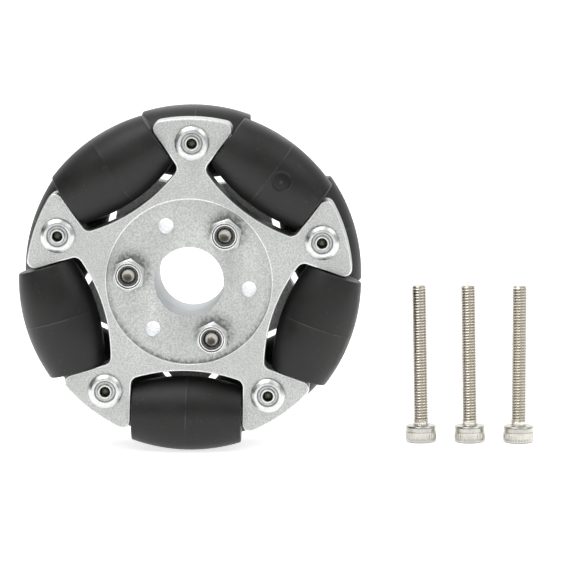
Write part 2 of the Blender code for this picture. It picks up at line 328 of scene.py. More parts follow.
def hexagon(width, height):
    """Four points along each side of a hexagon of that width over its flats."""
    corners = [Vector(polar(width / math.sqrt(3.0), TAU * i / 6)) for i in range(6)]
    return [
        (*corner.lerp(following, i / 4), height)
        for corner, following in zip(corners, corners[1:] + corners[:1]) for i in range(4)
    ]


def finish_mesh(name, solid, sharp=35.0):
    bmesh.ops.remove_doubles(solid, verts=solid.verts, dist=0.0005)
    bmesh.ops.dissolve_degenerate(solid, edges=solid.edges, dist=0.0001)
    bmesh.ops.recalc_face_normals(solid, faces=solid.faces)
    mesh = bpy.data.meshes.new(name)
    solid.to_mesh(mesh)
    solid.free()
    mesh.set_sharp_from_angle(angle=math.radians(sharp))
    return mesh


def cut(mesh, tool, operation="DIFFERENCE"):
    """The first mesh after a Boolean with the second, both in millimetres."""
    target = bpy.data.objects.new("target", mesh)
    other = bpy.data.objects.new("tool", tool)
    for thing in (target, other):
        bpy.context.scene.collection.objects.link(thing)
    modifier = target.modifiers.new("Cut", "BOOLEAN")
    modifier.operation = operation
    modifier.object = other
    graph = bpy.context.evaluated_depsgraph_get()
    made = bpy.data.meshes.new_from_object(target.evaluated_get(graph), depsgraph=graph)
    bpy.data.objects.remove(target)
    bpy.data.objects.remove(other)
    return made


def piece(name, mesh, place, body, surfaces, seed, spin=0.0):
    """A finished piece. Its materials read its millimetre coordinates, turned by spin, from an attribute."""
    own = mesh.copy()
    own.name = name
    seeds = own.attributes.new("seed", "FLOAT", "POINT")
    seeds.data.foreach_set("value", [seed] * len(own.vertices))
    local = own.attributes.new("local", "FLOAT_VECTOR", "POINT")
    turn = Matrix.Rotation(spin, 3, "Z")
    local.data.foreach_set("vector", [x for vert in own.vertices for x in turn @ vert.co])
    own.transform(place)
    if not own.materials:
        for surface in surfaces:
            own.materials.append(surface)
    made = bpy.data.objects.new(name, own)
    bpy.context.scene.collection.objects.link(made)
    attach(made, body)
    return made


# Materials


class Nodes:
    """A node tree with short calls for the nodes that are put into it."""

    def __init__(self, tree):
        self.tree = tree

    def node(self, kind, **settings):
        made = self.tree.nodes.new(kind)
        for key, value in settings.items():
            setattr(made, key, value)
        return made

    def link(self, source, target):
        self.tree.links.new(source, target)

    def parts(self, vector):
        """The three coordinates of a vector."""
        made = self.node("ShaderNodeSeparateXYZ")
        self.link(vector, made.inputs[0])
        return made.outputs

    def span(self, value, low, high, to_low=0.0, to_high=1.0):
        made = self.node("ShaderNodeMapRange", interpolation_type="SMOOTHSTEP")
        self.link(value, made.inputs["Value"])
        for key, number in zip(("From Min", "From Max", "To Min", "To Max"), (low, high, to_low, to_high)):
            made.inputs[key].default_value = number
        return made.outputs["Result"]

    def calc(self, operation, first, second):
        made = self.node("ShaderNodeMath", operation=operation)
        for source, target in zip((first, second), made.inputs):
            if isinstance(source, float):
                target.default_value = source
            else:
                self.link(source, target)
        return made.outputs[0]

    def add(self, first, second):
        return self.calc("ADD", first, second)

    def less(self, first, second):
        return self.calc("SUBTRACT", first, second)

    def times(self, first, second):
        return self.calc("MULTIPLY", first, second)

    def most(self, first, second):
        return self.calc("MAXIMUM", first, second)

    def apart(self, first, second, centre=(0.0, 0.0)):
        """How far a point with these two coordinates lies from a centre."""
        squares = []
        for coordinate, origin in zip((first, second), centre):
            off = self.less(coordinate, origin)
            squares.append(self.times(off, off))
        return self.calc("POWER", self.add(*squares), 0.5)


class Surface(Nodes):
    """A Principled material whose noise is shifted by each piece's own seed."""

    def __init__(self, name, metallic, **values):
        self.material = bpy.data.materials.new(name)
        self.material.use_nodes = True
        super().__init__(self.material.node_tree)
        self.shader = self.tree.nodes["Principled BSDF"]
        self.shader.inputs["Metallic"].default_value = metallic
        for key, value in values.items():
            self.shader.inputs[SHADER_INPUTS[key]].default_value = value
        local = self.node("ShaderNodeAttribute", attribute_name="local")
        seed = self.node("ShaderNodeAttribute", attribute_name="seed")
        shift = self.node("ShaderNodeVectorMath", operation="SCALE")
        shift.inputs[0].default_value = SEED_SHIFT
        self.link(seed.outputs["Fac"], shift.inputs["Scale"])
        moved = self.node("ShaderNodeVectorMath", operation="ADD")
        self.link(local.outputs["Vector"], moved.inputs[0])
        self.link(shift.outputs[0], moved.inputs[1])
        self.local = local.outputs["Vector"]
        self.grain_space = moved.outputs[0]

    def noise(self, scale, detail=3.0, stretch=(1.0, 1.0, 1.0), roughness=0.55):
        stretched = self.node("ShaderNodeVectorMath", operation="MULTIPLY")
        self.link(self.grain_space, stretched.inputs[0])
        stretched.inputs[1].default_value = stretch
        made = self.node("ShaderNodeTexNoise")
        self.link(stretched.outputs[0], made.inputs["Vector"])
        made.inputs["Scale"].default_value = scale
        made.inputs["Detail"].default_value = detail
        made.inputs["Roughness"].default_value = roughness
        return made.outputs["Fac"]

    def pits(self, scale):
        made = self.node("ShaderNodeTexVoronoi")
        self.link(self.grain_space, made.inputs["Vector"])
        made.inputs["Scale"].default_value = scale
        return made.outputs["Distance"]

    def mix(self, factor, first, second):
        made = self.node("ShaderNodeMix", data_type="RGBA")
        self.link(factor, made.inputs["Factor"])
        for source, target in ((first, made.inputs[6]), (second, made.inputs[7])):
            if isinstance(source, tuple):
                target.default_value = (*source, 1.0)
            else:
                self.link(source, target)
        return made.outputs[2]

    def colour(self, source):
        self.link(source, self.shader.inputs["Base Color"])

    def roughness(self, source):
        self.link(source, self.shader.inputs["Roughness"])

    def bump(self, height, depth, strength=1.0):
        """Depth is the height's full range in millimetres."""
        made = self.node("ShaderNodeBump")
        made.inputs["Strength"].default_value = strength
        made.inputs["Distance"].default_value = depth * MM
        self.link(height, made.inputs["Height"])
        self.link(made.outputs["Normal"], self.shader.inputs["Normal"])


def disc_painted_shade(made):
    """How much painted shade a casting gets, mottled: low down in the corner of its recess, and above and
    beside the nuts.
    """
    mottle = made.span(made.noise(1.6, 3.0, roughness=0.6), 0.40, 0.58)
    up, across, out = made.parts(made.local)
    reach = made.apart(up, across)
    corner = made.times(made.span(reach, RECESS_RADIUS - SHADE_WIDTH, RECESS_RADIUS - 0.1),
                        made.span(reach, RECESS_RADIUS, RECESS_RADIUS + 0.05, 1.0, 0.0))
    low = made.span(up, -RECESS_RADIUS, 0.2 * RECESS_RADIUS, 1.0, 0.1)
    shade_mask = made.times(corner, low)
    nut_edge = NUT_WIDTH / 2.0
    for index in range(0, HOLES, 2):
        bolt_up, bolt_across = polar(HOLE_CIRCLE, FIRST_HOLE + TAU * index / HOLES)
        off = made.apart(up, across, (bolt_up + NUT_SHADE_SHIFT[0], bolt_across + NUT_SHADE_SHIFT[1]))
        shade_mask = made.most(shade_mask, made.span(off, nut_edge, nut_edge + 1.5 * SHADE_WIDTH, 0.9, 0.0))
    above = made.less(out, HALF_THICK - RECESS_DEPTH)
    on_floor = made.span(made.calc("ABSOLUTE", above, 0.0), 0.02, 0.10, 1.0, 0.0)
    return made.times(made.times(shade_mask, on_floor), mottle)


def cast_aluminium(shaded=False):
    """Tumbled die casting: an even blasted grain, faint clouding, and small darker pits.

    A shaded one has mottled painted shade low down in the corner of its recess, and beside the nuts.
    """
    made = Surface("grimy cast aluminium" if shaded else "cast aluminium", 1.0)
    grain = made.noise(4.2, 4.0, roughness=0.7)
    cloud = made.noise(0.12, 3.0)
    pits = made.span(made.pits(1.5), 0.0, 0.16, 1.0, 0.0)
    light = made.mix(made.span(cloud, 0.3, 0.7), (0.55, 0.56, 0.55), (0.62, 0.63, 0.62))
    speckled = made.mix(made.span(grain, 0.36, 0.62), (0.41, 0.417, 0.41), light)
    metal = made.mix(made.times(pits, 0.6), speckled, (0.36, 0.36, 0.355))
    if shaded:
        # painted shade: darker low down in the recess's corner and beside the nuts
        metal = made.mix(made.times(disc_painted_shade(made), 0.8), metal, (0.20, 0.20, 0.195))
    made.colour(metal)
    made.roughness(made.span(grain, 0.3, 0.7, 0.56, 0.44))
    made.bump(made.add(grain, made.times(pits, -0.3)), 0.06, 0.6)
    return made.material


def burnished_edge():
    """Cast edges that tumbling has burnished bright."""
    made = Surface("burnished cast edge", 1.0)
    rub = made.noise(2.4, 4.0)
    made.colour(made.mix(made.span(rub, 0.25, 0.55), (0.60, 0.61, 0.605), (0.78, 0.785, 0.78)))
    made.roughness(made.span(rub, 0.3, 0.7, 0.46, 0.36))
    made.bump(rub, 0.03, 0.4)
    return made.material


def drilled_aluminium():
    """The smooth walls of the holes, with faint marks along them."""
    made = Surface("drilled aluminium", 1.0)
    marks = made.noise(2.0, 3.0, stretch=(0.2, 0.2, 5.0))
    cloud = made.noise(0.3, 2.0)
    made.colour(made.mix(made.span(cloud, 0.3, 0.7), (0.80, 0.82, 0.84), (0.88, 0.89, 0.90)))
    made.roughness(made.span(marks, 0.3, 0.7, 0.24, 0.32))
    made.bump(marks, 0.002, 0.2)
    return made.material


def turned_aluminium():
    """The wall of the bore: finely turned, satin and a little blue."""
    made = Surface("turned aluminium", 1.0)
    marks = made.noise(2.0, 3.0, stretch=(0.2, 0.2, 6.0))
    cloud = made.noise(0.3, 2.0)
    made.colour(made.mix(made.span(cloud, 0.3, 0.7), (0.53, 0.548, 0.56), (0.56, 0.578, 0.59)))
    made.roughness(made.span(marks, 0.3, 0.7, 0.56, 0.64))
    made.bump(marks, 0.006, 0.4)
    return made.material


def rivet_aluminium():
    made = Surface("rivet aluminium", 1.0)
    smear = made.noise(1.3, 4.0)
    fine = made.noise(9.0, 3.0)
    made.colour(made.mix(made.span(smear, 0.35, 0.7), (0.56, 0.575, 0.57), (0.72, 0.73, 0.725)))
    made.roughness(made.add(made.span(smear, 0.3, 0.7, 0.24, 0.34), made.span(fine, 0.3, 0.7, 0.0, 0.06)))
    made.bump(made.add(smear, made.times(fine, 0.15)), 0.03, 0.4)
    return made.material


def hollow_shade_metal():
    """Rough dark metal: the torn steel of the rivets' mandrels, with near-black painted shade down in the
    rivets' holes and in the nuts' rolled seam.
    """
    made = Surface("dark metal, painted shade", 0.5)
    torn = made.noise(2.6, 5.0, roughness=0.75)
    # painted shade: near-black down in the rivets' holes and the nuts' rolled seam
    made.colour(made.mix(made.span(torn, 0.35, 0.65), (0.05, 0.05, 0.036), (0.20, 0.20, 0.155)))
    made.roughness(made.span(torn, 0.3, 0.7, 0.45, 0.7))
    made.bump(torn, 0.10, 0.7)
    return made.material


def screw_steel():
    """Warm stainless steel: fine drawing marks, faint stains, brownish painted shade down in the thread, and
    painted shadow round the rim of the head's end.
    """
    made = Surface("stainless steel", 1.0)
    drawn = made.noise(5.0, 3.0, stretch=(1.0, 1.0, 0.15))
    stain = made.noise(0.5, 4.0)
    x, y, z = made.parts(made.local)
    reach = made.apart(x, y)
    shank = made.span(z, HEAD_HEIGHT, HEAD_HEIGHT + 0.5)
    # painted shade: brownish and darker down in the thread's roots
    deep = made.times(made.span(reach, THREAD_ROOT + 0.02, THREAD_CREST - 0.05, 1.0, 0.0), shank)
    steel_tone = made.mix(made.span(stain, 0.38, 0.68), (0.53, 0.52, 0.478), (0.47, 0.456, 0.414))
    steel_tone = made.mix(shank, steel_tone, (0.68, 0.66, 0.605))
    # painted shadow: darker round the rim of the head's end, where the head rests on the floor
    end = made.times(made.span(z, 0.05, 0.40, 0.75, 0.0), made.span(reach, 2.25, 2.5))
    steel_tone = made.mix(end, steel_tone, (0.20, 0.20, 0.19))
    made.colour(made.mix(made.times(deep, 0.6), steel_tone, (0.32, 0.27, 0.20)))
    rough = made.add(made.span(drawn, 0.3, 0.7, 0.24, 0.34), made.span(stain, 0.4, 0.7, 0.0, 0.08))
    made.roughness(made.add(rough, made.times(shank, -0.03)))
    made.bump(drawn, 0.01, 0.4)
    return made.material


def bolt_steel():
    """The ends of the hub bolts: cut off, with a brown stain that leaves a paler crescent."""
    made = Surface("cut bolt steel", 1.0)
    stain = made.noise(1.6, 4.0, roughness=0.65)
    fine = made.noise(7.0, 3.0)
    x, y, _ = made.parts(made.local)
    reach = made.add(made.apart(x, y, STAIN_CENTRE), made.times(stain, 0.9))
    made.colour(made.mix(made.span(reach, STAIN_RADIUS + 0.25, STAIN_RADIUS + 0.6),
                         (0.115, 0.108, 0.095), (0.36, 0.345, 0.315)))
    made.roughness(made.add(made.span(stain, 0.3, 0.7, 0.34, 0.24), made.span(fine, 0.3, 0.7, 0.0, 0.08)))
    made.bump(made.add(stain, made.times(fine, 0.4)), 0.06, 0.5)
    return made.material


def nut_zinc():
    made = Surface("zinc plate", 1.0)
    bloom = made.noise(0.9, 4.0)
    fine = made.noise(8.0, 2.0)
    made.colour(made.mix(made.span(bloom, 0.35, 0.7), (0.68, 0.69, 0.68), (0.76, 0.77, 0.76)))
    made.roughness(made.add(made.span(bloom, 0.3, 0.7, 0.20, 0.30), made.span(fine, 0.3, 0.7, 0.0, 0.05)))
    made.bump(bloom, 0.004, 0.2)
    return made.material


def top_lit_zinc():
    """The nuts' chamfered shoulders: half-matt zinc, with a mottled painted highlight on the upper side and
    painted shade on the lower side.
    """
    made = Surface("rubbed zinc plate", 1.0)
    bloom = made.noise(1.4, 4.0, roughness=0.65)
    _, up, _ = made.parts(made.local)
    # painted highlight and shade: lighter towards the nut's top, darker towards its bottom
    top_lit = made.add(up, made.times(bloom, 2.0))
    made.colour(made.mix(made.span(top_lit, 0.8, 3.6), (0.42, 0.43, 0.42), (0.80, 0.81, 0.80)))
    made.roughness(made.span(bloom, 0.3, 0.7, 0.40, 0.30))
    made.bump(bloom, 0.01, 0.3)
    return made.material


def shaded_satin_metal():
    """A half-matt grey, darker as painted shade: the wrench flats of the nuts, and the dish that the riveting
    tool pressed.
    """
    made = Surface("satin metal", 1.0)
    bloom = made.noise(1.4, 4.0, roughness=0.65)
    # painted shade: a darker copy of the nuts' zinc and the rivets' aluminium
    made.colour(made.mix(made.span(bloom, 0.35, 0.65), (0.40, 0.41, 0.40), (0.50, 0.51, 0.50)))
    made.roughness(made.span(bloom, 0.3, 0.7, 0.48, 0.36))
    made.bump(bloom, 0.02, 0.4)
    return made.material


def axle_steel():
    made = Surface("ground steel", 1.0)
    ground = made.noise(6.0, 2.0, stretch=(0.3, 0.3, 4.0))
    made.colour(made.mix(made.span(ground, 0.3, 0.7), (0.20, 0.20, 0.205), (0.28, 0.28, 0.285)))
    made.roughness(made.span(ground, 0.3, 0.7, 0.28, 0.38))
    made.bump(ground, 0.006, 0.4)
    return made.material


def insert_nylon():
    made = Surface("blue-grey nylon", 0.0, subsurface_weight=0.05)
    mould = made.noise(3.0, 3.0)
    made.colour(made.mix(made.span(mould, 0.35, 0.65), (0.047, 0.050, 0.053), (0.088, 0.092, 0.097)))
    made.roughness(made.span(mould, 0.3, 0.7, 0.35, 0.5))
    made.bump(mould, 0.02, 0.5)
    return made.material


def roller_plastic():
    """Hard black plastic: satin, with handling scuffs and the round mark of the mould's gate."""
    made = Surface("black roller plastic", 0.0, specular_ior_level=0.34)
    skin_grain = made.noise(6.0, 3.0)
    cloud = made.noise(0.16, 4.0)
    scuff = made.noise(1.1, 6.0, stretch=(1.0, 1.0, 0.35), roughness=0.8)
    scuffed = made.span(scuff, 0.60, 0.74)
    specks = made.times(made.span(made.pits(0.75), 0.04, 0.12, 1.0, 0.0), made.span(cloud, 0.45, 0.6))
    scuffed = made.most(scuffed, specks)

    x, y, z = made.parts(made.local)
    reach = made.apart(x, z, GATE_CENTRE)
    facing = made.span(y, -1.0, 0.0, 1.0, 0.0)
    flash = made.span(made.calc("ABSOLUTE", z, 0.0), 0.02, PARTING_HALF, 0.5, 0.0)
    inside = made.times(made.span(reach, GATE_RADIUS - 0.15, GATE_RADIUS, 1.0, 0.0), facing)
    rim = made.span(reach, GATE_RADIUS - 0.25, GATE_RADIUS)
    rim = made.times(rim, made.span(reach, GATE_RADIUS, GATE_RADIUS + 0.25, 1.0, 0.0))
    rim = made.times(rim, facing)
    pip = made.times(made.span(reach, 0.1, 0.5, 1.0, 0.0), facing)

    tone = made.mix(made.span(cloud, 0.3, 0.72), (0.0070, 0.0070, 0.0066), (0.0120, 0.0120, 0.0115))
    tone = made.mix(made.times(inside, 0.9), tone, (0.0015, 0.0015, 0.0015))
    pale = made.most(made.times(scuffed, 0.4), made.times(flash, made.span(cloud, 0.35, 0.6)))
    pale = made.most(pale, made.times(pip, 0.25))
    made.colour(made.mix(pale, tone, (0.09, 0.09, 0.088)))
    rough = made.add(made.span(cloud, 0.3, 0.7, 0.36, 0.47), made.span(skin_grain, 0.3, 0.7, 0.0, 0.06))
    made.roughness(made.add(rough, made.times(scuffed, 0.12)))
    height = made.add(made.times(skin_grain, 0.12), made.times(scuffed, 0.10))
    height = made.add(height, made.times(rim, 1.2))
    height = made.add(height, made.times(inside, -0.7))
    height = made.add(height, made.times(pip, 0.9))
    made.bump(height, 0.09, 0.8)
    return made.material


# Star halves


def star_ring(inset, height):
    """The star's outline, moved into the metal by inset. Its first arm points along +X."""
    floor_centre = 2.0 * ROLLER_AXIS - WINDOW_GAP
    inner_across = WINDOW_HALF - WINDOW_FILLET
    inner = (inner_across, floor_centre - math.sqrt((WHEEL_RADIUS - WINDOW_FILLET) ** 2 - inner_across**2))
    outer_across = WINDOW_HALF + ARM_FILLET
    outer = (outer_across, math.sqrt((ARM_RADIUS - ARM_FILLET) ** 2 - outer_across**2))
    floor_end = math.atan2(inner[1] - floor_centre, inner[0])
    rim_start = math.atan2(outer[1], outer[0])
    half = arc((0.0, floor_centre), WHEEL_RADIUS + inset, -math.pi / 2.0, floor_end, 12)
    half += arc(inner, WINDOW_FILLET + inset, floor_end, 0.0, 6)[1:]
    half += arc(outer, ARM_FILLET - inset, math.pi, rim_start, 8)
    half += arc((0.0, 0.0), ARM_RADIUS - inset, rim_start, math.pi / 2.0 - PITCH / 2.0, 8)[1:]
    ring = []
    for index in range(ARMS):
        toward = PITCH * (index + 0.5)
        up = Vector(polar(1.0, toward))
        side = Vector((-up.y, up.x))
        mirrored = [(-across, along) for across, along in half[:0:-1]]
        ring += [(*(side * across + up * along), height) for across, along in mirrored + half[:-1]]
    return ring


def circle_ring(centre, radius, height, steps):
    return [(x, y, height) for x, y in circle(centre, radius, steps)]


def edges(low, high, low_round, high_round):
    """(inset, height) pairs up a wall whose two edges are rounded."""
    quarter = [math.radians(90.0 * i / EDGE_STRIPS) for i in range(EDGE_STRIPS + 1)]
    up = [(low_round * (1.0 - math.sin(a)), low + low_round * (1.0 - math.cos(a))) for a in quarter]
    over = [(high_round * (1.0 - math.cos(a)), high - high_round * (1.0 - math.sin(a))) for a in quarter]
    return up + over


def hole_wall(solid, centre, radius, heights, steps, finish=DRILLED):
    """A hole's wall. It grows where the wall's edges are rounded."""
    rings = [circle_ring(centre, radius + inset, height, steps) for inset, height in heights]
    return skin(solid, rings, finish, edge=EDGE_STRIPS, edge_finish=CAST)


def hub_holes(solid, low, high, first_bolt, high_round=HOLE_EDGE):
    """The walls of the six holes through the hub. Every other one from first_bolt on holds a bolt."""
    heights = edges(low, high, BORE_SEAM, high_round)
    walls = []
    for index in range(HOLES):
        spot = polar(HOLE_CIRCLE, FIRST_HOLE + TAU * index / HOLES)
        radius = BOLT_HOLE_RADIUS if index % 2 == first_bolt else EMPTY_HOLE_RADIUS
        walls.append(hole_wall(solid, spot, radius, heights, HOLE_STEPS))
    return walls


def grooves():
    """The round bars that leave the axles' grooves when they are cut out of a star."""
    solid = bmesh.new()
    for index in range(ARMS):
        toward = PITCH * (index + 0.5)
        lie = Matrix.Translation((*polar(ROLLER_AXIS, toward), 0.0))
        lie = lie @ Matrix.Rotation(toward, 4, "Z") @ Matrix.Rotation(-math.pi / 2.0, 4, "X")
        bmesh.ops.create_cone(solid, cap_ends=True, segments=32, radius1=GROOVE_RADIUS, radius2=GROOVE_RADIUS,
                              depth=2.0 * GROOVE_HALF, matrix=lie)
    return finish_mesh("grooves", solid)


def star_half(name, outward, recess, surfaces, first_bolt):
    """One half of a star, from its row's plane outwards (1) or inwards (-1)."""
    solid = bmesh.new()
    top = HALF_THICK
    floor = top - recess
    wall = edges(SEAM, top, SEAM_ROUND, EDGE_ROUND) + [(EDGE_ROUND + RUBBED, top)]
    outline = skin(solid, [star_ring(inset, height) for inset, height in wall], edge=EDGE_STRIPS - 1)
    heights = edges(SEAM, floor, BORE_SEAM, BORE_EDGE)
    bore = hole_wall(solid, (0.0, 0.0), BORE_RADIUS, heights, BORE_STEPS, TURNED)
    holes = hub_holes(solid, SEAM, floor, first_bolt)
    heights = edges(SEAM, top, HOLE_EDGE, HOLE_EDGE)
    rivets = [
        hole_wall(solid, polar(RIVET_CIRCLE, PITCH * index), RIVET_HOLE_RADIUS, heights, RIVET_HOLE_STEPS)
        for index in range(ARMS)
    ]
    cap(solid, [outline[0], bore[0]] + [wall[0] for wall in holes + rivets])
    if recess:
        rounded = edges(floor, top, 0.0, RECESS_ROUND)[EDGE_STRIPS + 1:]
        step = [(0.0, floor)] + rounded + [(RECESS_ROUND + RUBBED, top)]
        rings = [
            circle_ring((0.0, 0.0), RECESS_RADIUS + inset, height, RECESS_STEPS) for inset, height in step
        ]
        recess_wall = skin(solid, rings, BURNISHED)
        cap(solid, [outline[1], recess_wall[1]] + [wall[1] for wall in rivets])
        cap(solid, [recess_wall[0], bore[1]] + [wall[1] for wall in holes])
    else:
        cap(solid, [outline[1], bore[1]] + [wall[1] for wall in holes + rivets])
    bmesh.ops.scale(solid, verts=solid.verts, vec=(1.0, 1.0, outward))
    mesh = finish_mesh(name, solid)
    for surface in surfaces:
        mesh.materials.append(surface)
    tool = grooves()
    tool.materials.append(surfaces[CAST])
    return cut(mesh, tool)


def stars(surfaces, shaded):
    """Both stars. The rear one is the front one turned over, so its bolts use the other three holes."""
    for number, side in enumerate(SIDES):
        for kind, outward, recess, seed in (("outer", 1.0, RECESS_DEPTH, 0.3), ("inner", -1.0, 0.0, 0.7)):
            name = f"{side}_{kind}_star"
            # only the front outer casting gets the painted shade
            own = [shaded] + surfaces[1:] if name == "front_outer_star" else surfaces
            mesh = star_half(name, outward, recess, own, first_bolt=number)
            made = piece(f"{name}_casting", mesh, row_frame(side), "wheel", own,
                         seed + number)
            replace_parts(made, name)


# Rollers and axles


def roller_mesh():
    """A barrel on the wheel's own circle, with rounded ends and a thin parting ridge round its middle."""
    def barrel(height):
        ridge = PARTING_RISE * max(0.0, 1.0 - abs(height) / PARTING_HALF)
        return math.sqrt(WHEEL_RADIUS**2 - height**2) - ROLLER_AXIS + ridge

    reach = ROLLER_HALF - ROLLER_EDGE
    heights = [reach * math.cos(math.pi * i / ROLLER_ROWS) for i in range(ROLLER_ROWS + 1)]
    heights = [h for h in heights if abs(h) > 2.0 * PARTING_HALF]
    heights += [PARTING_HALF * share for share in (1.0, 0.4, 0.0, -0.4, -1.0)]
    side = [(barrel(h), h) for h in sorted(heights, reverse=True)]
    end = barrel(ROLLER_HALF)
    top = fillet([(ROLLER_BORE, ROLLER_HALF - 1.0), (ROLLER_BORE, ROLLER_HALF), (end, ROLLER_HALF), side[0]],
                 [0.2, 0.7 * ROLLER_EDGE], 5)
    bottom = [(radius, -height) for radius, height in reversed(top)]
    solid = bmesh.new()
    lathe(solid, top + side[1:-1] + bottom + [top[0]], ROLLER_STEPS)
    return finish_mesh("roller", solid, sharp=60.0)


def axle_mesh():
    solid = bmesh.new()
    chamfer = [(AXLE_RADIUS - AXLE_CHAMFER, AXLE_HALF), (AXLE_RADIUS, AXLE_HALF - AXLE_CHAMFER)]
    half = [(0.0, AXLE_HALF)] + chamfer
    lathe(solid, half + [(radius, -height) for radius, height in reversed(half)], 40)
    return finish_mesh("axle", solid)


def rollers(plastic, steel):
    barrel, pin = roller_mesh(), axle_mesh()
    for side in SIDES:
        for index in range(1, ARMS + 1):
            node = f"{side}_roller_{index}"
            seed = index + (0.5 if side == "rear" else 0.0)
            spin = GATE_SPINS[index - 1] if side == "front" else GATE_SPINS[-index] + 1.0
            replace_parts(piece(f"{node}_barrel", barrel, roller_frame(node), node, [plastic],
                              seed, spin), node)
            axle = f"{side}_axle_{index}"
            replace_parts(piece(f"{axle}_pin", pin, roller_frame(node), "wheel", [steel],
                              seed), axle)


# Rivets


def rivet_mesh():
    """A set blind rivet: flange, dished ring, rolled collar, torn mandrel in its hole, and the bulged end."""
    solid = bmesh.new()
    mandrel = [(0.0, 3.70), (0.35, 3.66), (0.62, 3.45), (0.78, 3.0), (RIVET_CORE, 2.9)]
    collar = fillet([(RIVET_CORE, RIVET_ROLLED), (0.95, RIVET_TOP), (1.19, RIVET_TOP), (1.23, RIVET_ROLLED)],
                    [0.04, 0.05])
    dish = fillet([(1.23, RIVET_ROLLED), (1.32, RIVET_DISH), (1.70, RIVET_DISH + 0.01), (1.88, 4.14)],
                  [0.12, 0.10])
    flange = [(1.88, 4.14), (1.92, 4.24), (2.36, 4.20), (RIVET_FLANGE, 3.72), (RIVET_FLANGE, HALF_THICK),
              (RIVET_SHANK, HALF_THICK)]
    bulge = [(RIVET_SHANK, -HALF_THICK), (RIVET_BULGE, -HALF_THICK), (RIVET_BULGE, -3.7), (1.9, -4.2),
             (1.0, 0.02 - RIVET_END), (0.0, -RIVET_END)]
    rounds = [0.05, 0.12, 0.30, 0.14] + 3 * [SHARP] + [0.05, 0.2, 0.4]
    lathe(solid, mandrel + [collar[0]], RIVET_STEPS, RIVET_HOLE)
    lathe(solid, collar, RIVET_STEPS, RIVET_BODY)
    lathe(solid, dish, RIVET_STEPS, RIVET_PRESSED)
    lathe(solid, fillet(flange + bulge, rounds), RIVET_STEPS, RIVET_BODY)
    return finish_mesh("rivet", solid, sharp=50.0)


def rivets(surfaces):
    mesh = rivet_mesh()
    for side in SIDES:
        for index in range(1, ARMS + 1):
            node = f"{side}_rivet_{index}"
            seed = 10.0 + index + (0.5 if side == "rear" else 0.0)
            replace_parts(piece(f"{node}_set", mesh, rivet_frame(node, side), "wheel", surfaces,
                              seed), node)


# Hub


def spacer(surfaces):
    """The ring between the rows, which fills the room between the two inner castings."""
    half = -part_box("front_inner_star")[1][1] / MM - 2.0 * SEAM
    solid = bmesh.new()
    rings = [
        circle_ring((0.0, 0.0), RECESS_RADIUS - inset, height, BORE_STEPS)
        for inset, height in edges(-half, half, SPACER_ROUND, SPACER_ROUND)
    ]
    rim = skin(solid, rings)
    heights = edges(-half, half, BORE_SEAM, BORE_SEAM)
    bore = hole_wall(solid, (0.0, 0.0), BORE_RADIUS, heights, BORE_STEPS, TURNED)
    holes = hub_holes(solid, -half, half, 0, BORE_SEAM)
    for end in (0, 1):
        cap(solid, [rim[end], bore[end]] + [wall[end] for wall in holes])
    place = placed(CENTRE, SIDES["front"], radial(middle("front_rivet_1")))
    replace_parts(piece("hub_spacer_ring", finish_mesh("spacer", solid), place, "wheel", surfaces,
                      5.0), "hub_spacer")


def thread_radius(height, angle, start, stop):
    """A 60 degree thread that fades into the neck at its start and into the tip's chamfer at its stop."""
    turn = (height / THREAD_PITCH - angle / TAU) % 1.0
    flank = min(1.0, max(0.0, THREAD_FLANK * abs(turn - 0.5) - THREAD_FLAT))
    radius = THREAD_ROOT + (THREAD_CREST - THREAD_ROOT) * (1.0 - flank)
    neck = min(1.0, max(0.0, (height - start) / THREAD_PITCH))
    radius = NECK_RADIUS + (radius - NECK_RADIUS) * neck
    return min(radius, THREAD_CREST - TIP_CHAMFER + (stop - height))


def threaded_shank(solid, length, tip_finish):
    """The thread from the head's bearing face to the tip, and the tip's dished end."""
    top = HEAD_HEIGHT + length
    turns = [TAU * i / THREAD_STEPS for i in range(THREAD_STEPS)]
    rows = int(length / THREAD_PITCH * THREAD_ROWS)
    rings = []
    for row in range(rows + 1):
        height = top - length * row / rows
        radii = [thread_radius(height, turn, HEAD_HEIGHT + NECK_LENGTH, top) for turn in turns]
        rings.append([(*polar(radius, turn), height) for radius, turn in zip(radii, turns)])
    skin(solid, rings)
    end = ((THREAD_CREST - TIP_CHAMFER, top), (0.55, top), (0.35, top - 0.1), (0.0, top - 0.14))
    skin(solid, [[(*polar(radius, turn), height) for turn in turns] for radius, height in end], tip_finish)


